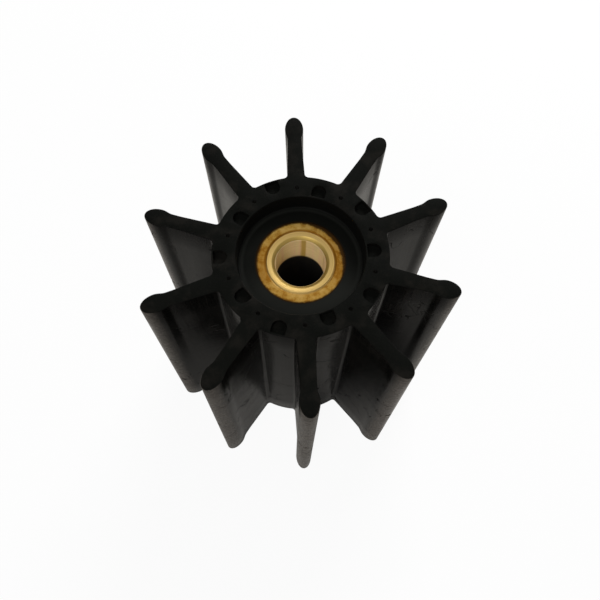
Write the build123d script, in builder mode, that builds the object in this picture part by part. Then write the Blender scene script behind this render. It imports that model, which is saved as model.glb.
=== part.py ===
"""Rubber impeller with ten vanes for a flexible-impeller raw-water pump, in millimetres.

The wheel is one moulding in black rubber: a thick hub with straight vanes, each ending in a long bulb.
A turned brass bush is bonded into the hub and carries it on the pump shaft.
The origin is the centre of the lower end face. +Z runs along the shaft, and one vane points along +Y.
"""

import os

from build123d import *

# Wheel
wheel_diameter = 95.25  # over the vane bulbs
wheel_height = 88.9  # between the two end faces
vane_count = 10

# Hub
hub_diameter = 51.5
recess_diameter = 37.6  # mouth of the recess in each end of the hub
recess_taper = 0.3  # how much smaller the recess is at its floor, on the radius
recess_depth = 5.5
recess_floor_chamfer = 0.6

# Vanes
vane_root_thickness = 5.35  # at the hub
vane_neck_thickness = 4.45  # just behind the bulb
vane_neck_length = 2.6  # parallel stretch between the vane's taper and its bulb
vane_root_fillet = 1.3
bulb_width = 5.7
bulb_nose_length = 4.6  # from the tip back to the widest place
bulb_shoulder_length = 3.4  # from the widest place back to the neck

# Marks left by the mould in both end faces
pocket_width = 4.2
pocket_length = 4.0
pocket_depth = 1.6
pocket_rim = 0.5  # rubber left between a pocket and the edge beside it
dimple_circle_diameter = 43.9
dimple_diameter = 1.2
dimple_depth = 0.6

# Bush
bush_diameter = 26.6
bore_diameter = 15.0
bore_chamfer = 0.4
land_length = 12.0  # full-size bore at each end of the bush
relief_depth = 1.2  # how much deeper than the lands the bore is between them, on the radius
relief_ramp = 1.0  # length of the slope from a land into the relief
ring_groove_diameter = 20.7  # middle of the groove that ends the faced ring round the bore
ring_groove_width = 0.7
ring_groove_depth = 0.35

# Radii and heights worked out from the sizes above
tip_radius = wheel_diameter / 2
hub_radius = hub_diameter / 2
recess_radius = recess_diameter / 2
bush_radius = bush_diameter / 2
bore_radius = bore_diameter / 2
vane_step = 360 / vane_count
middle = Plane.XY.offset(wheel_height / 2)


def vane_outline():
    """One vane seen from the end, along +Y, with its foot inside the hub."""
    foot_radius = hub_radius - 2 * vane_root_fillet
    widest_radius = tip_radius - bulb_nose_length
    neck_radius = widest_radius - bulb_shoulder_length
    taper_end = (vane_neck_thickness / 2, neck_radius - vane_neck_length)
    with BuildSketch() as outline:
        with BuildLine():
            foot = Line((0, foot_radius), (vane_root_thickness / 2, foot_radius))
            root = Line(foot @ 1, (vane_root_thickness / 2, hub_radius))
            flank = Line(root @ 1, taper_end)
            neck = Line(flank @ 1, (vane_neck_thickness / 2, neck_radius))
            Spline(neck @ 1, (bulb_width / 2, widest_radius), tangents=((0, 1), (0, 1)))
            EllipticalCenterArc((0, widest_radius), bulb_width / 2, bulb_nose_length, arc_size=90)
            mirror(about=Plane.YZ)
        make_face()
    return outline.sketch


def core_section():
    """Half of the hollow through the hub: a recess at each end and the seat of the bush between them."""
    floor_radius = recess_radius - recess_taper
    with BuildSketch(Plane.XZ) as section:
        with BuildLine():
            mouth = Line((0, 0), (recess_radius, 0))
            wall = Line(mouth @ 1, (floor_radius, recess_depth))
            floor = Line(wall @ 1, (bush_radius, recess_depth))
            seat = Line(floor @ 1, (bush_radius, wheel_height / 2))
            Line(seat @ 1, (0, wheel_height / 2))
            Line((0, wheel_height / 2), mouth @ 0)
        make_face()
        floor_corner = section.vertices().sort_by_distance((floor_radius, recess_depth))[0]
        chamfer(floor_corner, recess_floor_chamfer)
    return section.sketch


def pocket_outline(outward):
    """A D-shaped pocket on the +Y side: flat beside the hub rim if outward, else beside the recess."""
    flat_radius = hub_radius - pocket_rim if outward else recess_radius + pocket_rim
    direction = -1 if outward else 1
    straight = pocket_length - pocket_width / 2
    with BuildSketch() as outline:
        with BuildLine():
            corner = (pocket_width / 2, flat_radius)
            side = Line(corner, (pocket_width / 2, flat_radius + direction * straight))
            far_side = Line((-pocket_width / 2, (side @ 1).Y), (-pocket_width / 2, flat_radius))
            ThreePointArc(side @ 1, (0, flat_radius + direction * pocket_length), far_side @ 0)
            Line(far_side @ 1, side @ 0)
        make_face()
    return outline.sketch


def make_core():
    """What the core pin and the bush leave open in the hub, through both end faces."""
    half = core_section()
    with BuildPart() as core:
        revolve(half, axis=Axis.Z)
        mirror(about=middle)
    return core.part


def make_face_marks():
    """The pockets between the vanes and the dimples in line with them, at both ends."""
    pockets = pocket_outline(outward=True), pocket_outline(outward=False)
    with BuildPart() as marks:
        with BuildSketch():
            for gap in range(vane_count):
                with PolarLocations(0, 1, start_angle=(gap + 0.5) * vane_step):
                    add(pockets[gap % 2])
        extrude(amount=pocket_depth)
        with BuildSketch():
            with PolarLocations(dimple_circle_diameter / 2, vane_count, start_angle=90):
                Circle(dimple_diameter / 2)
        extrude(amount=dimple_depth)
        mirror(about=middle)
    return marks.part


def is_vane_root(edge):
    """True for the upright edge in the corner between a vane and the hub."""
    foot = edge @ 0
    return abs(Vector(foot.X, foot.Y).length - hub_radius) < 0.01


def make_rubber_wheel():
    """Hub and vanes as one moulding, with its core and face marks taken out."""
    vane = vane_outline()
    core = make_core()
    marks = make_face_marks()
    with BuildPart() as wheel:
        with BuildSketch():
            Circle(hub_radius)
            with PolarLocations(0, vane_count):
                add(vane)
        extrude(amount=wheel_height)
        fillet(wheel.edges().filter_by(Axis.Z).filter_by(is_vane_root), vane_root_fillet)
        add(core, mode=Mode.SUBTRACT)
        add(marks, mode=Mode.SUBTRACT)
    return wheel


def bush_section():
    """Half of the bush's turned section, from its lower face up to the middle of the wheel."""
    face = recess_depth
    groove_inner = (ring_groove_diameter - ring_groove_width) / 2
    groove_outer = (ring_groove_diameter + ring_groove_width) / 2
    relief_radius = bore_radius + relief_depth
    land_end = face + land_length
    with BuildSketch(Plane.XZ) as section:
        with BuildLine():
            Polyline(
                (bore_radius, land_end),
                (bore_radius, face + bore_chamfer),
                (bore_radius + bore_chamfer, face),
                (groove_inner, face),
                (groove_inner, face + ring_groove_depth),
                (groove_outer, face + ring_groove_depth),
                (groove_outer, face),
                (bush_radius, face),
                (bush_radius, wheel_height / 2),
                (relief_radius, wheel_height / 2),
                (relief_radius, land_end + relief_ramp),
                close=True,
            )
        make_face()
    return section.sketch


def make_brass_bush():
    """The bush between the two recesses: a land at each end of its bore and a relief between them."""
    half = bush_section()
    with BuildPart() as bush:
        revolve(half, axis=Axis.Z)
        mirror(about=middle)
    return bush


rubber_wheel = make_rubber_wheel()
brass_bush = make_brass_bush()
rubber_wheel.part.label = "rubber_wheel"
brass_bush.part.label = "brass_bush"

os.makedirs("parts", exist_ok=True)
export_step(rubber_wheel.part, "parts/rubber_wheel.step")
export_step(brass_bush.part, "parts/brass_bush.step")
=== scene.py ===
"""Finished look of a flexible-impeller pump wheel: a moulded rubber wheel on a turned brass bush.

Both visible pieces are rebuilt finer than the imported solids, about the same shaft. The bush's face is
dished and its mouth is wider than the solid's, and the vanes stand a little off true, as OFF_TRUE says.
The origin is the centre of the lower end face and +Z is the shaft. Lengths are in metres, except in
OFF_TRUE and in the shaders, which count in millimetres.
"""

import math

import bmesh
import bpy
from bpy.props import FloatProperty, FloatVectorProperty, IntProperty, PointerProperty
from mathutils import Matrix, Quaternion, Vector, noise


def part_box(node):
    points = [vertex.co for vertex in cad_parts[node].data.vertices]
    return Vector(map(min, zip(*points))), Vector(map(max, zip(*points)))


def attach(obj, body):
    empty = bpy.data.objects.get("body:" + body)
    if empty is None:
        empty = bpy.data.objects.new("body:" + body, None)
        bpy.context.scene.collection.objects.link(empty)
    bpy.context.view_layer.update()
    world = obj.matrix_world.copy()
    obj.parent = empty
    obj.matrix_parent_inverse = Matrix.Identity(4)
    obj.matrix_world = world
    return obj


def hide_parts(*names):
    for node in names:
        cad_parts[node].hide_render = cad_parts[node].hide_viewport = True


bl_info = {
    "name": "Pump impeller",
    "version": (1, 0, 0),
    "blender": (4, 5, 0),
    "location": "View3D > Sidebar > Impeller",
    "description": "Builds a rubber pump impeller, its brass bush and a plain studio",
    "category": "Add Mesh",
}

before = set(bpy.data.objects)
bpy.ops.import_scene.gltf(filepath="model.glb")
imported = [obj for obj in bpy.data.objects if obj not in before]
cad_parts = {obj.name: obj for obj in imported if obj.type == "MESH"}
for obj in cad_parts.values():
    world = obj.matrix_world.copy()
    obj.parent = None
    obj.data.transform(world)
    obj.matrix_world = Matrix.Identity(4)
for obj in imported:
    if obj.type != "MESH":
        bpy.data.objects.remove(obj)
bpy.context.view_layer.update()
wheel_low, wheel_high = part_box("rubber_wheel")
bush_low, bush_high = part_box("brass_bush")

MM = 0.001
TOP, BOTTOM = 1, -1  # which end of the wheel a mark is in
# How far each vane's tip stands off true, in millimetres, for the vanes in turn, clockwise from +Y:
# anticlockwise over its whole height, anticlockwise at its lower end besides, outwards at its upper
# end, and outwards at its lower end.
OFF_TRUE = (
    (-0.35, -1.6, 0.0, 0.0),
    (0.2, 0.3, -0.1, -0.8),
    (0.35, 0.3, -0.8, -0.8),
    (0.0, -0.2, -0.8, 0.1),
    (0.0, 0.0, -0.4, 1.1),
    (0.0, -0.3, 0.1, 1.4),
    (0.1, -0.2, 0.0, 1.4),
    (0.0, 0.5, 0.1, 0.8),
    (-0.45, -0.1, 0.0, 0.0),
    (-0.55, -0.2, 0.2, -0.3),
)


def length(name, description, millimetres):
    """A length a user may change, with its default in millimetres."""
    return FloatProperty(
        name=name, description=description, default=millimetres * MM, min=0, unit="LENGTH", precision=5
    )


def colour(name, description, value):
    """A linear colour a user may change."""
    return FloatVectorProperty(
        name=name, description=description, default=value, subtype="COLOR", min=0, max=1
    )


def share(name, description, value, highest=1.0):
    """A plain number from 0 up to highest."""
    return FloatProperty(name=name, description=description, default=value, min=0, max=highest)


# ---------------------------------------------------------------- settings


class WheelSizes(bpy.types.PropertyGroup):
    """Sizes of the rubber wheel."""

    hub: length("Hub", "Diameter of the hub", 51.5)
    recess: length("Recess", "Diameter of the recess at its mouth", 37.6)
    recess_taper: length("Recess taper", "How much the recess narrows to its floor, on the radius", 0.3)
    recess_fillet: length("Recess fillet", "Radius at the foot of the recess wall", 0.6)
    root: length("Root", "Thickness of a vane at the hub", 5.35)
    neck: length("Neck", "Thickness of a vane behind its bulb", 4.45)
    neck_length: length("Neck length", "Parallel stretch behind the bulb", 2.6)
    root_fillet: length("Root fillet", "Radius between a vane and the hub", 1.3)
    bulb: length("Bulb", "Width of the bulb at the vane's tip", 5.7)
    nose: length("Nose", "From the tip back to the bulb's widest place", 4.6)
    shoulder: length("Shoulder", "From the widest place back to the neck", 3.4)
    edge_round: length("Edge", "Rounding between the end faces and the sides", 0.25)
    pocket_width: length("Pocket width", "Width of a pocket in an end face", 4.2)
    pocket_length: length("Pocket length", "Length of a pocket along the radius", 4.0)
    pocket_depth: length("Pocket depth", "Depth of a pocket", 1.6)
    pocket_margin: length("Pocket margin", "Rubber between a pocket and the edge beside it", 0.5)
    dimple_circle: length("Dimple circle", "Diameter of the circle the dimples stand on", 43.9)
    dimple: length("Dimple", "Diameter of a dimple", 1.2)
    dimple_depth: length("Dimple depth", "Depth of a dimple", 0.6)
    flash: length("Flash", "How far the line left by the mould's joint stands out", 0.012)
    nick: length("Nicks", "Depth of the nicks torn into the noses along that line", 0.6)
    lip: length("Lip", "Widest overlap of the rubber on the bush's face", 0.30)
    vanes: IntProperty(name="Vanes", description="Number of vanes, an even number", default=10, min=4)


class BushSizes(bpy.types.PropertyGroup):
    """Sizes of the brass bush."""

    bore: length("Bore", "Diameter of the bore", 15.0)
    chamfer: length("Chamfer", "Chamfer at the bore's mouth", 1.1)
    dish: length("Dish", "How far the faced ring falls towards the bore", 0.18)
    land: length("Land", "Length of the full-size bore at each end", 12.0)
    relief: length("Relief", "How much deeper the bore is between its lands, on the radius", 1.2)
    groove: length("Groove", "Diameter of the groove round the faced ring", 20.7)
    groove_width: length("Groove width", "Width of that groove", 0.7)
    groove_depth: length("Groove depth", "Depth of that groove", 0.35)


class Finishes(bpy.types.PropertyGroup):
    """Colours of the finished surfaces."""

    rubber: colour("Rubber", "Moulded black rubber of the sides", (0.0040, 0.0041, 0.0036))
    ground: colour("Ground rubber", "Dull black rubber of the end faces", (0.0035, 0.0039, 0.0032))
    dust: colour("Dust", "Pale bloom in the grain of the rubber", (0.030, 0.026, 0.022))
    # This colour is real bloom in the recess and also its painted light: a lighter near side and a
    # painted highlight at the foot of the far wall.
    bloom: colour("Bloom", "Grey bloom on the floor of the recess", (0.023, 0.024, 0.021))
    worn: colour("Worn rubber", "Scuffed rubber of the outer noses", (0.115, 0.100, 0.085))
    brass: colour("Brass", "Turned brass of the faced ring", (0.36, 0.25, 0.088))
    land: colour("Bore land", "Fine-turned brass of the bore", (1.00, 0.82, 0.46))
    # Painted reflection: the reddish streaks down the bore.
    painted_reflection_blush: colour("Blush", "Reddish cast in the bore", (1.00, 0.72, 0.48))
    olive: colour("Olive", "Greenish tarnish of the bore's mouth", (0.30, 0.21, 0.055))
    # Real tarnish in the bore's turning marks, and also painted reflection: yellow streaks and a darker
    # band down the bore.
    tarnish: colour("Tarnish", "Yellow tarnish in the bore", (0.54, 0.37, 0.07))
    amber: colour("Amber", "Brass under a skin of moulding residue", (0.25, 0.148, 0.030))
    # Real ochre residue, and also painted shade on the brass outside the groove: on its near side, its
    # left and right flanks and the far side of the groove.
    stain_and_painted_shade: colour("Stain", "Ochre residue on the brass", (0.15, 0.064, 0.006))
    scorch: colour("Scorch", "Dark residue at the edge of the brass", (0.026, 0.012, 0.003))
    # Painted shade: the relief deep inside the bore is coloured near black, where shade falls.
    hollow: colour("Hollow", "Dull metal of the relief inside the bore", (0.004, 0.003, 0.002))


class Studio(bpy.types.PropertyGroup):
    """Lamps, floor and camera."""

    key: share("Key", "Power of the large lamp behind the wheel, in watts", 9.2, 100)
    fill: share("Fill", "Power of the weaker lamp in front, in watts", 3.0, 100)
    world: share("World", "Strength of the even light all round", 0.12, 10)
    focal: FloatProperty(
        name="Focal length", description="In millimetres on a 36 mm sensor", default=38.59
    )


# ---------------------------------------------------------------- shader maths


class Wire:
    """A node's output socket. Its operators add Math nodes, so that a mask reads as an expression."""

    def __init__(self, shader, socket):
        self.shader = shader
        self.socket = socket

    def maths(self, operation, *values):
        """A Math node on the values, which are outputs or plain numbers."""
        return self.shader.node("ShaderNodeMath", {"operation": operation}, dict(enumerate(values)))

    def __add__(self, other):
        return self.maths("ADD", self, other)

    def __mul__(self, other):
        return self.maths("MULTIPLY", self, other)

    def __sub__(self, other):
        return self.maths("SUBTRACT", self, other)

    def __rsub__(self, other):
        return self.maths("SUBTRACT", other, self)

    def __truediv__(self, other):
        return self.maths("DIVIDE", self, other)

    def __rtruediv__(self, other):
        return self.maths("DIVIDE", other, self)

    def __pow__(self, other):
        return self.maths("POWER", self, other)

    def __rpow__(self, other):
        return self.maths("POWER", other, self)

    def __abs__(self):
        return self.maths("ABSOLUTE", self)

    __radd__ = __add__
    __rmul__ = __mul__

    def rise(self, low, high):
        """0 below low, 1 above high and a soft step between. With low above high it falls instead."""
        settings = {"interpolation_type": "SMOOTHSTEP"}
        return self.shader.node("ShaderNodeMapRange", settings, {"Value": self, 1: low, 2: high})

    def near(self, value, width):
        """1 at value, falling to 0 at width to either side."""
        return abs(self - value).rise(width, 0)


class Shader:
    """The nodes of one material."""

    def __init__(self, name):
        self.material = bpy.data.materials.new(name)
        self.material.use_nodes = True
        self.tree = self.material.node_tree
        self.tree.nodes.clear()

    def node(self, kind, settings=None, values=None, output=0):
        """Adds a node, sets its settings and then its sockets, and gives one of its outputs, if any."""
        made = self.tree.nodes.new(kind)
        for name, value in (settings or {}).items():
            setattr(made, name, value)
        for name, value in (values or {}).items():
            socket = made.inputs[name]
            if isinstance(value, Wire):
                self.tree.links.new(value.socket, socket)
            else:
                socket.default_value = value
        return None if output is None else Wire(self, made.outputs[output])

    def place(self):
        """The point on the piece, and its x, y, z and distance from the shaft, all in millimetres."""
        point = self.node("ShaderNodeTexCoord", output="Object")
        scaled = self.node("ShaderNodeVectorMath", {"operation": "SCALE"}, {0: point, "Scale": 1 / MM})
        split = self.node("ShaderNodeSeparateXYZ", values={0: scaled})
        x, y, z = (Wire(self, socket) for socket in split.socket.node.outputs)
        return scaled, x, y, z, (x * x + y * y) ** 0.5

    def stretched(self, point, scale):
        """The point with each of its axes scaled, for patterns that run one way."""
        return self.node("ShaderNodeMapping", values={"Vector": point, "Scale": scale})

    def noise(self, point, scale, detail=3.0, roughness=0.55):
        """Soft noise from 0 to 1, with scale features to a millimetre."""
        values = {"Vector": point, "Scale": scale, "Detail": detail, "Roughness": roughness}
        return self.node("ShaderNodeTexNoise", values=values)

    def wandering_cells(self, point, scale, stray):
        """Distance to the edges of large cells, whose edges stray by up to about half of stray."""
        coarse = {"Vector": point, "Scale": 0.05, "Detail": 3.0}
        drift = self.node("ShaderNodeTexNoise", values=coarse, output=1)
        strayed = self.node(
            "ShaderNodeVectorMath", {"operation": "MULTIPLY_ADD"}, {0: drift, 1: (stray,) * 3, 2: point}
        )
        settings = {"feature": "DISTANCE_TO_EDGE"}
        return self.node("ShaderNodeTexVoronoi", settings, {"Vector": strayed, "Scale": scale})

    def mix(self, mask, first, second):
        """First colour where the mask is 0 and second where it is 1."""
        settings = {"data_type": "RGBA"}
        made = self.node("ShaderNodeMix", settings, {0: mask}, output=2).socket.node
        for socket, value in ((made.inputs[6], first), (made.inputs[7], second)):
            if isinstance(value, Wire):
                self.tree.links.new(value.socket, socket)
            else:
                socket.default_value = (*value, 1)
        return Wire(self, made.outputs[2])

    def bump(self, height, distance, strength=1.0):
        """A normal from a height in units of distance."""
        return self.node(
            "ShaderNodeBump", values={"Height": height, "Distance": distance, "Strength": strength}
        )

    def finish(self, surface):
        """Joins the surface to the material's output and gives the material."""
        self.node("ShaderNodeOutputMaterial", values={"Surface": surface}, output=None)
        return self.material


def moulded_rubber(finishes, sizes):
    """The satin skin that the mould left on the sides: pale bloom, scuffed noses and hairline marks."""
    shader = Shader("moulded_rubber")
    point, _, _, z, radius = shader.place()
    middle = wheel_high.z / MM / 2
    tip = wheel_high.y / MM
    mouth = sizes.recess / MM / 2
    grain = shader.noise(point, 2.2, 5)
    speckle = shader.noise(point, 0.8, 5, 0.75)
    patches = shader.noise(point, 0.11, 4)
    drawn = shader.noise(shader.stretched(point, (1.5, 1.5, 0.06)), 1.0, 4)
    cells = shader.wandering_cells(point, 0.030, 45)
    outer = radius.rise(tip - 4.625, tip - 1.125)
    outside = radius.rise(mouth + 0.4, mouth + 1.2)
    hairline = cells.rise(0.0070, 0.0025) * patches.rise(0.47, 0.53) * outside
    seam = z.near(middle, 0.35) * patches.rise(0.45, 0.6)
    bloom = patches.rise(0.42, 0.70) * 0.35 + drawn.rise(0.46, 0.72) * 0.40
    bloom += speckle.rise(0.42, 0.70) * 0.25
    scuffed = outer * (0.50 + speckle.rise(0.38, 0.62) * 0.40 + patches.rise(0.40, 0.65) * 0.10)
    tint = shader.mix(bloom * outside * 0.50, finishes.rubber, finishes.dust)
    tint = shader.mix(scuffed, tint, finishes.worn)
    tint = shader.mix(seam * 0.5 + hairline * 0.8, tint, finishes.rubber)
    roughness = 0.37 - outside * 0.25 + patches * 0.10 + bloom * 0.08 + scuffed * 0.10 + hairline * 0.4
    height = (grain * 0.10 + drawn * 0.10 + speckle * 0.22) * outside - seam * 0.04 - hairline * 0.25
    surface = shader.node(
        "ShaderNodeBsdfPrincipled",
        values={
            "Base Color": tint,
            "Roughness": roughness,
            "IOR": 1.5,
            "Specular IOR Level": 0.03,
            "Normal": shader.bump(height, 0.25 * MM, 0.5),
        },
    )
    return shader.finish(surface)


def ground_rubber(finishes, sizes):
    """The dull rubber of the end faces, their pockets and the recess, with dust in its grain, and
    painted light in the recess: a lighter near side and a painted highlight at the foot of the far wall.
    """
    shader = Shader("ground_rubber")
    point, _, y, _, radius = shader.place()
    mouth = sizes.recess / MM / 2
    rim = bush_high.x / MM
    grain = shader.noise(point, 2.6, 5, 0.65)
    patches = shader.noise(point, 0.20, 4)
    specks = shader.noise(point, 5.5, 2).rise(0.66, 0.74)
    recess = radius.rise(mouth + 0.2, mouth - 0.4)
    # Painted highlight: a ring at the foot of the recess wall, shown on the far side only.
    ring = radius.near(mouth - 1.4, 0.9)
    back = (y / radius).rise(-0.75, 0.0)
    residue = (radius + (grain - 0.5) * 0.6).rise(rim + 0.4, rim - 0.1)
    dust = patches.rise(0.45, 0.75) * 0.26 + grain.rise(0.50, 0.75) * 0.18 + specks * 0.30
    tint = shader.mix(dust * (1 - recess * 0.8), finishes.ground, finishes.dust)
    # Painted light in the recess: some bloom over all its floor, a painted highlight on the far ring,
    # and painted light over the near side.
    tint = shader.mix((ring * back * 0.50 + (1 - back) * 0.45 + 0.10) * recess, tint, finishes.bloom)
    tint = shader.mix(residue * 0.70, tint, finishes.scorch)
    surface = shader.node(
        "ShaderNodeBsdfPrincipled",
        values={
            "Base Color": tint,
            "Roughness": 0.62 + patches * 0.12 - recess * 0.25,
            "IOR": 1.5,
            "Specular IOR Level": 0.02,
            "Normal": shader.bump(grain * (1 - recess * 0.5), 0.10 * MM, 0.5),
        },
    )
    return shader.finish(surface)


def brass_material(finishes, bush):
    """Turned brass: bright round the bore, with painted reflection streaks; amber and stained outside
    its groove, with painted shade on the near side, the flanks and the groove's far side; and painted
    dark in the relief, where shade falls.
    """
    shader = Shader("turned_brass")
    point, x, y, z, radius = shader.place()
    middle = wheel_high.z / MM / 2
    groove = bush.groove / MM / 2
    bore_radius = bush.bore / MM / 2
    rim = bush_high.x / MM
    land_end = middle - bush_low.z / MM - bush.land / MM
    mouth = bore_radius + bush.chamfer / MM
    mottle = shader.noise(point, 0.50, 5, 0.65)
    specks = shader.noise(point, 2.2, 4, 0.7)
    # Streaks that run down the bore, for painted reflections.
    painted_reflection_streaks = shader.noise(shader.stretched(point, (0.55, 0.55, 0.02)), 1.0, 4, 0.6)
    tooling = shader.noise(shader.stretched(point, (0.02, 0.02, 3.0)), 1.0, 2)
    rings = shader.node(
        "ShaderNodeTexNoise",
        {"noise_dimensions": "1D"},
        {"W": radius * 2.6, "Scale": 1.0, "Detail": 3.0},
    )
    back = (y / radius).rise(-0.55, 0.25)
    # Left and right of the bush, where shade is painted on the brass.
    painted_flank_shade = abs(x / radius).rise(0.72, 0.98)
    crust = ((x * 0.87 + y * 0.50) / radius).rise(0.55, 0.98)
    outside = radius.rise(groove - 0.30, groove + 0.40)
    in_groove = radius.near(groove, 0.70)
    bore = radius.rise(bore_radius + 0.15, bore_radius + 0.02)
    chamfer = radius.rise(mouth + 0.1, mouth - 0.15) * (1 - bore)
    relief = abs(z - middle).rise(land_end + 1.2, land_end - 0.1) * radius.rise(rim - 0.6, rim - 1.2)
    ragged = (specks - 0.5) * 0.8 + (mottle - 0.5) * 0.9
    edge = (radius + ragged + crust * 0.60 + back * 0.20).rise(rim - 0.80, rim - 0.05)
    # Painted reflection: one darker band down the bore.
    painted_dark_reflection = abs(x - 1.4).rise(0.95, 0.45) * bore
    gilt = shader.mix(mottle.rise(0.52, 0.34) * 0.40, finishes.amber, finishes.brass)
    tint = shader.mix(outside, finishes.brass, gilt)
    tint = shader.mix(rings.rise(0.42, 0.62) * (1 - outside) * 0.25, tint, finishes.stain_and_painted_shade)
    tint = shader.mix(chamfer * 0.75, tint, finishes.olive)
    tint = shader.mix(bore, tint, finishes.land)
    # Painted reflection in the bore: reddish and yellow streaks and a darker band. The fine tooling
    # marks are real.
    tint = shader.mix(bore * painted_reflection_streaks.rise(0.44, 0.54) * 0.65, tint, finishes.painted_reflection_blush)
    tint = shader.mix(bore * painted_reflection_streaks.rise(0.55, 0.62) * 0.55, tint, finishes.tarnish)
    tint = shader.mix(bore * tooling.rise(0.45, 0.65) * 0.28, tint, finishes.tarnish)
    tint = shader.mix(painted_dark_reflection * 0.90, tint, finishes.tarnish)
    # Real blotches of residue, mixed with painted shade on the near side and flanks and in the far side
    # of the groove.
    blotch_and_painted_shade = mottle.rise(0.48, 0.62) * 0.60 + specks.rise(0.58, 0.68) * 0.35
    blotch_and_painted_shade = (blotch_and_painted_shade + painted_flank_shade * 0.55 + (1 - back) * 0.25) * outside
    tint = shader.mix(blotch_and_painted_shade + in_groove * (0.15 + back * 0.80), tint, finishes.stain_and_painted_shade)
    tint = shader.mix(edge * (1 - bore), tint, finishes.scorch)
    # Painted shade: near black in the relief, where shade falls in the bore.
    tint = shader.mix(relief, tint, finishes.hollow)
    roughness = 0.40 + outside * 0.10 + mottle * 0.08 + bore * 0.12 + relief * 0.30 + in_groove * 0.15
    height = rings * (1 - bore) * 0.9 + tooling * bore * 0.45 + specks * outside * 0.5
    surface = shader.node(
        "ShaderNodeBsdfPrincipled",
        values={
            "Base Color": tint,
            "Roughness": roughness,
            "Metallic": 1 - relief * 0.9 - bore * (1 - relief) * 0.9,
            "Normal": shader.bump(height, 0.06 * MM, 0.5),
        },
    )
    return shader.finish(surface)


def floor_material():
    """A white floor, even to the camera but with a faint shadow, and a little warmer in reflections."""
    shader = Shader("studio_floor")
    camera_ray = shader.node("ShaderNodeLightPath", output="Is Camera Ray")
    glossy_ray = shader.node("ShaderNodeLightPath", output="Is Glossy Ray")
    plain, warm = (0.93, 0.93, 0.93), (0.96, 0.92, 0.85)
    paper = shader.node("ShaderNodeBsdfDiffuse", values={"Color": shader.mix(glossy_ray, plain, warm)})
    even = shader.node("ShaderNodeEmission", values={"Color": (1, 1, 1, 1), "Strength": 1.0})
    evenness = camera_ray * 0.94 + glossy_ray * 0.05
    surface = shader.node("ShaderNodeMixShader", values={0: evenness, 1: paper, 2: even})
    return shader.finish(surface)


# ---------------------------------------------------------------- outlines


def along_arc(centre, radius, start, end, count):
    """Points on an arc, in radians, without its first point."""
    steps = (start + (end - start) * (i + 1) / count for i in range(count))
    return [centre + radius * Vector((math.cos(a), math.sin(a))) for a in steps]


def vane_side(sizes):
    """The right side of a vane that points along +Y, from the hub to the tip."""
    hub = sizes.hub / 2
    tip = wheel_high.y
    widest = Vector((sizes.bulb / 2, tip - sizes.nose))
    neck = Vector((sizes.neck / 2, widest.y - sizes.shoulder))
    taper_end = neck - Vector((0, sizes.neck_length))
    root = Vector((sizes.root / 2, hub))
    along = (taper_end - root).normalized()
    outward = Vector((along.y, -along.x))
    reach = root.dot(outward) + sizes.root_fillet
    centre = outward * reach + along * math.sqrt((hub + sizes.root_fillet) ** 2 - reach**2)
    foot = centre * (hub / centre.length)
    landing = centre - outward * sizes.root_fillet
    first = math.atan2(foot.y - centre.y, foot.x - centre.x) % math.tau
    last = math.atan2(landing.y - centre.y, landing.x - centre.x) % math.tau
    points = [foot] + along_arc(centre, sizes.root_fillet, first, last, 8)
    points += [landing.lerp(taper_end, (i + 1) / 10) for i in range(10)]
    points += [taper_end.lerp(neck, (i + 1) / 3) for i in range(3)]
    pull = Vector((0, sizes.shoulder * 0.38))
    handles = neck, neck + pull, widest - pull, widest
    for i in range(10):
        t = (i + 1) / 10
        weights = (1 - t) ** 3, 3 * t * (1 - t) ** 2, 3 * t**2 * (1 - t), t**3
        points.append(sum((w * h for w, h in zip(weights, handles)), Vector((0, 0))))
    for i in range(16):
        a = math.pi / 2 * (i + 1) / 16
        points.append(widest + Vector(((math.cos(a) - 1) * sizes.bulb / 2, math.sin(a) * sizes.nose)))
    return points


def sector_ends(sizes):
    """Azimuths where a sector with its vane along +Y starts and ends, clear of pockets and fillets."""
    step = math.tau / sizes.vanes
    past_pocket = math.radians(7.6)
    end = math.pi / 2 + step / 2 + past_pocket
    return end - step, end


def sector_outline(sizes):
    """The outside of one sector: hub, vane and hub again, from its end azimuth back to its start."""
    start, end = sector_ends(sizes)
    right = vane_side(sizes)
    left = [Vector((-p.x, p.y)) for p in right]
    hub = sizes.hub / 2
    shaft = Vector((0, 0))
    left_foot, right_foot = (math.atan2(side[0].y, side[0].x) for side in (left, right))
    before = [Vector((math.cos(end), math.sin(end))) * hub]
    before += along_arc(shaft, hub, end, left_foot, 9)
    after = along_arc(shaft, hub, right_foot, start, 2)
    return before[:-1] + left + right[-2::-1] + after


def facing(points, closed=False):
    """The outward direction at each point of an outline that runs clockwise."""
    directions = []
    last = len(points) - 1
    for i, point in enumerate(points):
        if not closed and i in (0, last):
            directions.append(point.normalized())
            continue
        run = (points[(i + 1) % len(points)] - points[i - 1]).normalized()
        directions.append(Vector((-run.y, run.x)))
    return directions


def pocket_outline(sizes, outward):
    """A D-shaped pocket on the +Y side, clockwise.

    Its flat side is beside the hub's rim if outward, and beside the recess if not.
    """
    half = sizes.pocket_width / 2
    if outward:
        flat, direction = sizes.hub / 2 - sizes.pocket_margin, -1
    else:
        flat, direction = sizes.recess / 2 + sizes.pocket_margin, 1
    corner = 0.35 * MM
    straight = sizes.pocket_length - half
    bow = [
        Vector((half * math.cos(math.pi * i / 14), straight + half * math.sin(math.pi * i / 14)))
        for i in range(15)
    ]
    base = [
        Vector((side * (half - corner + corner * math.sin(a)), corner - corner * math.cos(a)))
        for side, angles in ((-1, (90, 60, 30, 0)), (1, (0, 30, 60, 90)))
        for a in map(math.radians, angles)
    ]
    points = [Vector((p.x, flat + direction * p.y)) for p in bow + base]
    return points[::-1] if direction == 1 else points


# ---------------------------------------------------------------- rubber wheel

# How far in and how far down the rows of a rounded edge are, in radii of the rounding.
EDGE_BEND = tuple((1 - math.sin(a), 1 - math.cos(a)) for a in map(math.radians, (0, 30, 60, 90)))


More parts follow.
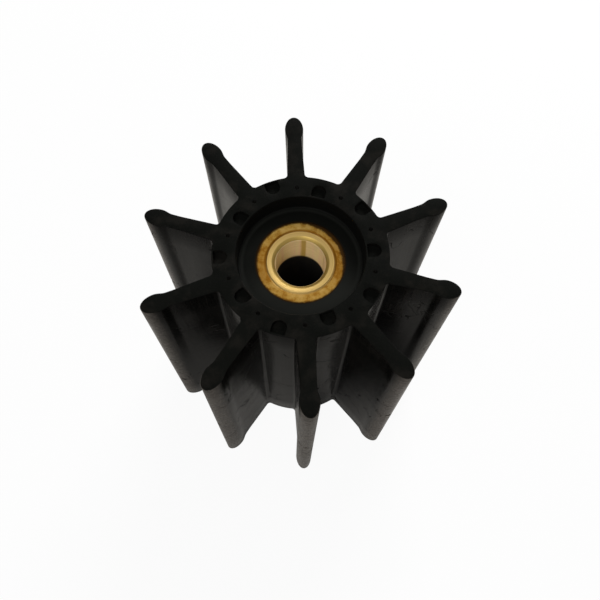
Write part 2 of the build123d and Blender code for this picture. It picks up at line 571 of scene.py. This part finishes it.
def ring_of(mesh, points, height, closed):
    """New vertices at a height over 2-D points, and the edges between neighbours."""
    corners = [mesh.verts.new((p.x, p.y, height)) for p in points]
    pairs = zip(corners, corners[1:] + corners[:1] if closed else corners[1:])
    return corners, [mesh.edges.new(pair) for pair in pairs]


def join(mesh, first, second, closed):
    """Quads between two rows of vertices."""
    count = len(first)
    for i in range(count if closed else count - 1):
        j = (i + 1) % count
        mesh.faces.new((first[i], first[j], second[j], second[i]))


def turned(points, angle):
    """2-D points turned about the shaft."""
    spin = Matrix.Rotation(angle, 2)
    return [spin @ p for p in points]


def pushed(points, directions, distance):
    """2-D points moved along their directions."""
    return [p + d * distance for p, d in zip(points, directions)]


def wall_rows(sizes):
    """(inset, height, on the flash) of each row of the outside wall, from the top down."""
    high = wheel_high.z
    edge = sizes.edge_round
    middle = high / 2
    upper = [(edge * inset, high - edge * drop, False) for inset, drop in EDGE_BEND]
    upper += [(0, middle + (high / 2 - edge) * part, False) for part in (0.75, 0.5, 0.25)]
    upper += [(0, middle + z * MM, False) for z in (3.0, 2.2, 1.6, 1.1, 0.7, 0.4, 0.2)]
    upper.append((-sizes.flash, middle + 0.07 * MM, True))
    return upper + [(inset, high - z, flash) for inset, z, flash in reversed(upper)]


def recess_rows(sizes, overlap):
    """(radius, height) of each row of the hollow, from the top face's edge down into the bush's seat."""
    high = wheel_high.z
    mouth = sizes.recess / 2
    foot = mouth - sizes.recess_taper
    floor = high - bush_low.z
    edge, fillet = sizes.edge_round, sizes.recess_fillet
    seat = bush_high.x
    rows = [(mouth + edge * inset, high - edge * drop) for inset, drop in EDGE_BEND]
    for a in map(math.radians, (0, 18, 36, 54, 72, 90)):
        rows.append((foot - fillet * (1 - math.cos(a)), floor + fillet * (1 - math.sin(a))))
    rows += [
        (foot - 1.6 * MM, floor),
        (seat + 1.6 * MM, floor),
        (seat + 0.5 * MM, floor + 0.05 * MM),
        (seat - overlap * 0.8, floor + 0.13 * MM),
        (seat - overlap, floor + 0.06 * MM),
        (seat - overlap, floor + 0.01 * MM),
        (seat + 0.02 * MM, floor + 0.01 * MM),
        (seat + 0.02 * MM, floor - 2 * MM),
    ]
    return rows


def cut_pocket(mesh, sizes, outward, angle, side):
    """A pocket with a soft rim, and the edges of its mouth in the end face."""
    points = turned(pocket_outline(sizes, outward), angle)
    directions = facing(points, closed=True)
    rim, depth = 0.18 * MM, sizes.pocket_depth
    rows = [
        (rim, 0),
        (rim * 0.3, rim * 0.3),
        (0, rim),
        (0, depth - 0.3 * MM),
        (-0.1 * MM, depth - 0.09 * MM),
        (-0.35 * MM, depth),
    ]
    return sunk(mesh, points, directions, rows, side)


def cut_dimple(mesh, sizes, angle, side):
    """A shallow round dimple in line with a vane."""
    centre = Vector((0, sizes.dimple_circle / 2))
    radius = sizes.dimple / 2
    spokes = [Vector((math.cos(a), -math.sin(a))) for a in (math.tau * i / 16 for i in range(16))]
    points = turned([centre + spoke * radius for spoke in spokes], angle)
    directions = turned(spokes, angle)
    rows = [
        (0.14 * MM, 0),
        (0.02 * MM, 0.1 * MM),
        (-radius * 0.25, sizes.dimple_depth * 0.7),
        (-radius * 0.6, sizes.dimple_depth),
    ]
    return sunk(mesh, points, directions, rows, side)


def sunk(mesh, points, directions, rows, side):
    """A closed outline carried down into an end face by (offset, depth) rows, with a flat floor."""
    rings = []
    for offset, depth in rows:
        height = wheel_high.z - depth if side == TOP else depth
        rings.append(ring_of(mesh, pushed(points, directions, offset), height, closed=True))
    for (upper, _), (lower, _) in zip(rings, rings[1:]):
        join(mesh, upper, lower, closed=True)
    mesh.faces.new(rings[-1][0])
    return rings[0][1]


def add_sector(mesh, sizes, index, flash):
    """One vane with its share of the hub, turned to its place, and the marks in both its end faces."""
    step = math.tau / sizes.vanes
    angle = index * step
    start, end = (a + angle for a in sector_ends(sizes))
    outline = turned(sector_outline(sizes), angle)
    directions = facing(outline)
    outside = []
    for inset, height, on_flash in wall_rows(sizes):
        row = ring_of(mesh, pushed(outline, directions, -inset), height, closed=False)
        outside.append(row)
        if on_flash:
            for corner in row[0]:
                corner[flash] = 1.0
    for (upper, _), (lower, _) in zip(outside, outside[1:]):
        join(mesh, upper, lower, closed=False)

    arc = [end + (start - end) * i / 18 for i in range(19)]
    upper_rows = recess_rows(sizes, sizes.lip * 0.5)
    rows = upper_rows + [(radius, wheel_high.z - height) for radius, height in reversed(upper_rows)]
    inside = []
    for radius, height in rows:
        points = [Vector((math.cos(a), math.sin(a))) * radius for a in arc]
        inside.append(ring_of(mesh, points, height, closed=False))
    for (upper, _), (lower, _) in zip(inside, inside[1:]):
        join(mesh, upper, lower, closed=False)

    for side, outer, inner in ((TOP, outside[0], inside[0]), (BOTTOM, outside[-1], inside[-1])):
        border = outer[1] + inner[1]
        border += [mesh.edges.new((outer[0][i], inner[0][i])) for i in (0, -1)]
        border += cut_pocket(mesh, sizes, index % 2 == 0, angle + step / 2, side)
        border += cut_dimple(mesh, sizes, angle, side)
        bmesh.ops.triangle_fill(mesh, edges=border, use_beauty=True, use_dissolve=False)


def sector_pair(sizes):
    """Two neighbouring sectors, because the pockets repeat over every second gap."""
    mesh = bmesh.new()
    flash = mesh.verts.layers.float.new("flash")
    for index in (0, 1):
        add_sector(mesh, sizes, index, flash)
    bmesh.ops.remove_doubles(mesh, verts=mesh.verts, dist=0.002 * MM)
    data = bpy.data.meshes.new("vane_pair")
    mesh.to_mesh(data)
    mesh.free()
    return data


def repeat_round(piece, count, side_finish, end_finish):
    """Repeats the piece round the shaft with Geometry Nodes, and leaves it as one plain mesh.

    Faces that look along the shaft take the end finish and all others the side finish.
    """
    tree = bpy.data.node_groups.new("repeat_round", "GeometryNodeTree")
    sockets = {}
    for name, kind in (
        ("Geometry", "NodeSocketGeometry"),
        ("Count", "NodeSocketInt"),
        ("Weld", "NodeSocketFloat"),
        ("Finish", "NodeSocketMaterial"),
        ("End finish", "NodeSocketMaterial"),
    ):
        sockets[name] = tree.interface.new_socket(name, in_out="INPUT", socket_type=kind).identifier
    tree.interface.new_socket("Geometry", in_out="OUTPUT", socket_type="NodeSocketGeometry")

    def node(kind, settings=None, values=None):
        made = tree.nodes.new(kind)
        for name, value in (settings or {}).items():
            setattr(made, name, value)
        for name, value in (values or {}).items():
            if isinstance(value, bpy.types.NodeSocket):
                tree.links.new(value, made.inputs[name])
            else:
                made.inputs[name].default_value = value
        return made

    given = node("NodeGroupInput").outputs
    index = node("GeometryNodeInputIndex").outputs[0]
    part = node("ShaderNodeMath", {"operation": "DIVIDE"}, {0: index, 1: given["Count"]}).outputs[0]
    turn = node("ShaderNodeMath", {"operation": "MULTIPLY"}, {0: part, 1: math.tau}).outputs[0]
    spin = node("ShaderNodeCombineXYZ", values={"Z": turn}).outputs[0]
    on_shaft = {"Count": given["Count"], "Offset": (0, 0, 0)}
    places = node("GeometryNodeMeshLine", values=on_shaft).outputs[0]
    copies = node(
        "GeometryNodeInstanceOnPoints",
        values={"Points": places, "Instance": given["Geometry"], "Rotation": spin},
    ).outputs[0]
    real = node("GeometryNodeRealizeInstances", values={"Geometry": copies}).outputs[0]
    whole = node("GeometryNodeMergeByDistance", values={"Geometry": real, "Distance": given["Weld"]})
    sides = node(
        "GeometryNodeSetMaterial", values={"Geometry": whole.outputs[0], "Material": given["Finish"]}
    ).outputs[0]
    normal = node("GeometryNodeInputNormal").outputs["Normal"]
    along_shaft = node("ShaderNodeSeparateXYZ", values={"Vector": normal}).outputs["Z"]
    flatness = node("ShaderNodeMath", {"operation": "ABSOLUTE"}, {0: along_shaft}).outputs[0]
    is_end = node("FunctionNodeCompare", {"operation": "GREATER_THAN"}, {"A": flatness, "B": 0.8})
    ends = node(
        "GeometryNodeSetMaterial",
        values={"Geometry": sides, "Selection": is_end.outputs[0], "Material": given["End finish"]},
    ).outputs[0]
    node("NodeGroupOutput", values={"Geometry": ends})

    modifier = piece.modifiers.new("repeat", "NODES")
    modifier.node_group = tree
    modifier[sockets["Count"]] = count
    modifier[sockets["Weld"]] = 0.004 * MM
    modifier[sockets["Finish"]] = side_finish
    modifier[sockets["End finish"]] = end_finish
    evaluated = piece.evaluated_get(bpy.context.evaluated_depsgraph_get())
    plain = bpy.data.meshes.new_from_object(evaluated)
    piece.modifiers.clear()
    piece.data = plain
    return piece


def rough_flash(mesh, sizes):
    """Makes the mould's joint line uneven, with small nicks torn into the noses along it."""
    flash = mesh.verts.layers.float["flash"]
    middle = wheel_high.z / 2
    reach = 2.5  # millimetres up and down from the line
    nose_start = wheel_high.y - 0.5 * sizes.nose
    for corner in mesh.verts:
        offset = abs(corner.co.z - middle) / MM
        if offset > reach:
            continue
        sideways = Vector((corner.normal.x, corner.normal.y, 0)).normalized()
        if corner[flash] > 0.5:
            wander = noise.noise(corner.co * 900) + 0.5 * noise.noise(corner.co * 2600)
            corner.co += sideways * wander * 0.012 * MM
        if corner.co.xy.length > nose_start:
            torn = noise.noise(corner.co * 520 + Vector((3, 7, 1)))
            torn += 0.3 * noise.noise(corner.co * 1700)
            depth = min(max(0.0, torn - 0.12) * 2.5, 1.0) * (1 - offset / reach)
            corner.co -= sideways * depth * sizes.nick


def stand_off_true(mesh, sizes):
    """Leans the vanes and moves their tips in or out, by the amounts in OFF_TRUE."""
    hub, tip, high = sizes.hub / 2, wheel_high.y, wheel_high.z
    step = math.tau / sizes.vanes
    for corner in mesh.verts:
        radius = corner.co.xy.length
        if radius < hub + 0.5 * MM:
            continue
        from_first = math.pi / 2 - math.atan2(corner.co.y, corner.co.x)
        vane = round(from_first / step) % sizes.vanes
        along = (radius - hub) / (tip - hub)
        down = 1 - corner.co.z / high
        angle = math.pi / 2 - vane * step
        outward = Vector((math.cos(angle), math.sin(angle), 0))
        sideways = Vector((-outward.y, outward.x, 0))
        turn, lean, upper, lower = OFF_TRUE[vane % len(OFF_TRUE)]
        bow = lean * along**0.5 * math.sin(down * math.pi / 2)
        corner.co += sideways * (turn + bow) * along * MM
        corner.co += outward * (upper * (1 - down) + lower * down) * along * MM


def ragged_lip(mesh, sizes):
    """Makes the rubber's overlap on the bush's face uneven."""
    seat = bush_high.x
    for corner in mesh.verts:
        around = Vector((corner.co.x, corner.co.y, 0))
        if around.length > seat - 0.05 * MM:
            continue
        spot = around.normalized() * 40
        wander = 0.35 + noise.noise(spot * 0.09) * 0.6 + noise.noise(spot * 0.35) * 0.25
        overlap = sizes.lip * min(max(wander, 0.08), 1.0)
        corner.co.xy = around.normalized().xy * (seat - overlap)


def smooth(data, sharp_above=32):
    """Smooth shading with the real corners kept sharp."""
    data.shade_smooth()
    data.set_sharp_from_angle(angle=math.radians(sharp_above))


def check_closed(mesh, name):
    """Stops the script if the mesh has an open or a shared edge."""
    loose = [edge for edge in mesh.edges if len(edge.link_faces) != 2]
    if loose:
        places = [tuple(round(v / MM, 2) for v in edge.verts[0].co) for edge in loose[:6]]
        raise RuntimeError(f"{name} has {len(loose)} open edges, such as at {places}")


def add_piece(name, data):
    """A new object at the origin, in the scene."""
    piece = bpy.data.objects.new(name, data)
    bpy.context.scene.collection.objects.link(piece)
    return piece


class MakeRubberWheel(bpy.types.Operator):
    """Build the rubber wheel: hub, vanes, recesses and the marks the mould left"""

    bl_idname = "impeller.rubber_wheel"
    bl_label = "Rubber wheel"

    def execute(self, context):
        sizes = context.scene.impeller_wheel
        piece = add_piece("wheel_skin", sector_pair(sizes))
        finishes = context.scene.impeller_finishes
        skins = moulded_rubber(finishes, sizes), ground_rubber(finishes, sizes)
        repeat_round(piece, sizes.vanes // 2, *skins)
        mesh = bmesh.new()
        mesh.from_mesh(piece.data)
        bmesh.ops.recalc_face_normals(mesh, faces=mesh.faces)
        check_closed(mesh, piece.name)
        rough_flash(mesh, sizes)
        ragged_lip(mesh, sizes)
        stand_off_true(mesh, sizes)
        mesh.to_mesh(piece.data)
        mesh.free()
        smooth(piece.data)
        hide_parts("rubber_wheel")
        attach(piece, "root")
        return {"FINISHED"}


# ---------------------------------------------------------------- brass bush


def bush_profile(bush):
    """(radius, height) round the bush's section, from the bore's middle over the top face and back."""
    top = bush_high.z
    bore = bush.bore / 2
    middle = (bush_low.z + bush_high.z) / 2
    rim = bush_high.x
    inner = (bush.groove - bush.groove_width) / 2
    outer = (bush.groove + bush.groove_width) / 2
    land = top - bush.land
    mouth, lip = bore + bush.chamfer, top - bush.dish
    upper = [
        (bore + bush.relief, middle),
        (bore + bush.relief, land - 1.0 * MM),
        (bore, land),
        (bore, (land + top) / 2),
        (bore, lip - bush.chamfer * 0.9),
        (bore + bush.chamfer * 0.08, lip - bush.chamfer * 0.75),
        (mouth - bush.chamfer * 0.12, lip - bush.chamfer * 0.09),
        (mouth, lip),
        ((mouth * 2 + inner) / 3, top - bush.dish * 0.62),
        ((mouth + inner * 2) / 3, top - bush.dish * 0.27),
    ]
    for part in (-0.2, 0, 0.15, 0.35, 0.5, 0.65, 0.85, 1, 1.2):
        dip = 0.5 + 0.5 * math.cos(math.tau * (min(max(part, -0.1), 1.1) + 0.1) / 1.2)
        upper.append((inner + part * (outer - inner), top - bush.groove_depth * (1 - dip) * 0.7))
    upper += [(rim - 0.2 * MM, top), (rim - 0.01 * MM, top - 0.2 * MM)]
    lower = [(radius, 2 * middle - height) for radius, height in reversed(upper[1:])]
    return upper + lower


def turned_body(profile, segments):
    """A closed body of revolution about the shaft."""
    mesh = bmesh.new()
    rings = []
    for radius, height in profile:
        spokes = (math.tau * i / segments for i in range(segments))
        places = ((radius * math.cos(a), radius * math.sin(a), height) for a in spokes)
        rings.append([mesh.verts.new(place) for place in places])
    for first, second in zip(rings, rings[1:] + rings[:1]):
        join(mesh, first, second, closed=True)
    bmesh.ops.recalc_face_normals(mesh, faces=mesh.faces)
    check_closed(mesh, "turned body")
    data = bpy.data.meshes.new("bush")
    mesh.to_mesh(data)
    mesh.free()
    return data


class MakeBrassBush(bpy.types.Operator):
    """Turn the brass bush with its faced ring, groove, lands and relief"""

    bl_idname = "impeller.brass_bush"
    bl_label = "Brass bush"

    def execute(self, context):
        bush = context.scene.impeller_bush
        piece = add_piece("bush_skin", turned_body(bush_profile(bush), segments=160))
        piece.data.materials.append(brass_material(context.scene.impeller_finishes, bush))
        smooth(piece.data, sharp_above=28)
        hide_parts("brass_bush")
        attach(piece, "root")
        return {"FINISHED"}


# ---------------------------------------------------------------- studio


def lamp(name, place, aim, size, power):
    """A soft square lamp that looks at a point."""
    light = bpy.data.lights.new(name, "AREA")
    light.size = size
    light.energy = power
    made = add_piece(name, light)
    made.location = place
    made.rotation_euler = (Vector(aim) - Vector(place)).to_track_quat("-Z", "Y").to_euler()
    return made


def light_world(strength):
    """Even dim light all round, white where the camera, metal or glass looks past the floor."""
    world = bpy.data.worlds.new("studio_world")
    bpy.context.scene.world = world
    world.use_nodes = True
    nodes, links = world.node_tree.nodes, world.node_tree.links
    nodes.clear()
    path = nodes.new("ShaderNodeLightPath")
    room, backdrop = nodes.new("ShaderNodeBackground"), nodes.new("ShaderNodeBackground")
    room.inputs["Color"].default_value = (1, 1, 1, 1)
    room.inputs["Strength"].default_value = strength
    backdrop.inputs["Color"].default_value = (1, 1, 1, 1)
    mix, output = nodes.new("ShaderNodeMixShader"), nodes.new("ShaderNodeOutputWorld")
    seen, clear = (nodes.new("ShaderNodeMath") for _ in range(2))
    for either, first, second in (
        (seen, path.outputs["Is Camera Ray"], path.outputs["Is Glossy Ray"]),
        (clear, seen.outputs[0], path.outputs["Is Transmission Ray"]),
    ):
        either.operation = "MAXIMUM"
        links.new(first, either.inputs[0])
        links.new(second, either.inputs[1])
    links.new(clear.outputs[0], mix.inputs[0])
    links.new(room.outputs[0], mix.inputs[1])
    links.new(backdrop.outputs[0], mix.inputs[2])
    links.new(mix.outputs[0], output.inputs["Surface"])


def add_camera(focal):
    """A camera that looks down into the upper end of the wheel."""
    place = Vector((-6.65, -81.13, 255.32)) * MM
    aim = Vector((-1.02, -14.40, 88.90)) * MM
    roll = math.radians(1.82)
    data = bpy.data.cameras.new("camera")
    data.sensor_width = 36
    data.lens = focal
    data.clip_start = 1 * MM
    camera = add_piece("camera", data)
    camera.location = place
    level = (aim - place).to_track_quat("-Z", "Y")
    camera.rotation_mode = "QUATERNION"
    camera.rotation_quaternion = level @ Quaternion((0, 0, 1), roll)
    bpy.context.scene.camera = camera


class MakeStudio(bpy.types.Operator):
    """Add the floor, the lamps and the camera"""

    bl_idname = "impeller.studio"
    bl_label = "Studio"

    def execute(self, context):
        studio = context.scene.impeller_studio
        mesh = bmesh.new()
        bmesh.ops.create_grid(mesh, x_segments=1, y_segments=1, size=3.0)
        data = bpy.data.meshes.new("floor")
        mesh.to_mesh(data)
        mesh.free()
        data.materials.append(floor_material())
        floor = add_piece("floor", data)
        aim = (0, 0, 0.04)
        lamp("key", place=(0.28, 0.75, 0.48), aim=aim, size=0.45, power=studio.key)
        lamp("fill", place=(-0.30, -0.50, 0.80), aim=aim, size=0.4, power=studio.fill)
        light_world(studio.world)
        add_camera(studio.focal)
        context.scene.view_settings.view_transform = "Standard"
        return {"FINISHED"}


# ---------------------------------------------------------------- add-on


class ImpellerPanel(bpy.types.Panel):
    """Lists the sizes, finishes and builders"""

    bl_idname = "VIEW3D_PT_impeller"
    bl_label = "Impeller"
    bl_space_type = "VIEW_3D"
    bl_region_type = "UI"
    bl_category = "Impeller"

    def draw(self, context):
        scene = context.scene
        for title, group, operator in (
            ("Wheel", scene.impeller_wheel, MakeRubberWheel),
            ("Bush", scene.impeller_bush, MakeBrassBush),
            ("Finishes", scene.impeller_finishes, None),
            ("Studio", scene.impeller_studio, MakeStudio),
        ):
            box = self.layout.box()
            box.label(text=title)
            for name in group.__annotations__:
                box.prop(group, name)
            if operator:
                box.operator(operator.bl_idname)


classes = (
    WheelSizes,
    BushSizes,
    Finishes,
    Studio,
    MakeRubberWheel,
    MakeBrassBush,
    MakeStudio,
    ImpellerPanel,
)

groups = {
    "impeller_wheel": WheelSizes,
    "impeller_bush": BushSizes,
    "impeller_finishes": Finishes,
    "impeller_studio": Studio,
}


def register():
    for item in classes:
        bpy.utils.register_class(item)
    for name, group in groups.items():
        setattr(bpy.types.Scene, name, PointerProperty(type=group))


def unregister():
    for name in groups:
        delattr(bpy.types.Scene, name)
    for item in reversed(classes):
        bpy.utils.unregister_class(item)


def main():
    register()
    bpy.ops.impeller.rubber_wheel()
    bpy.ops.impeller.brass_bush()
    bpy.ops.impeller.studio()


if __name__ == "__main__":
    main()
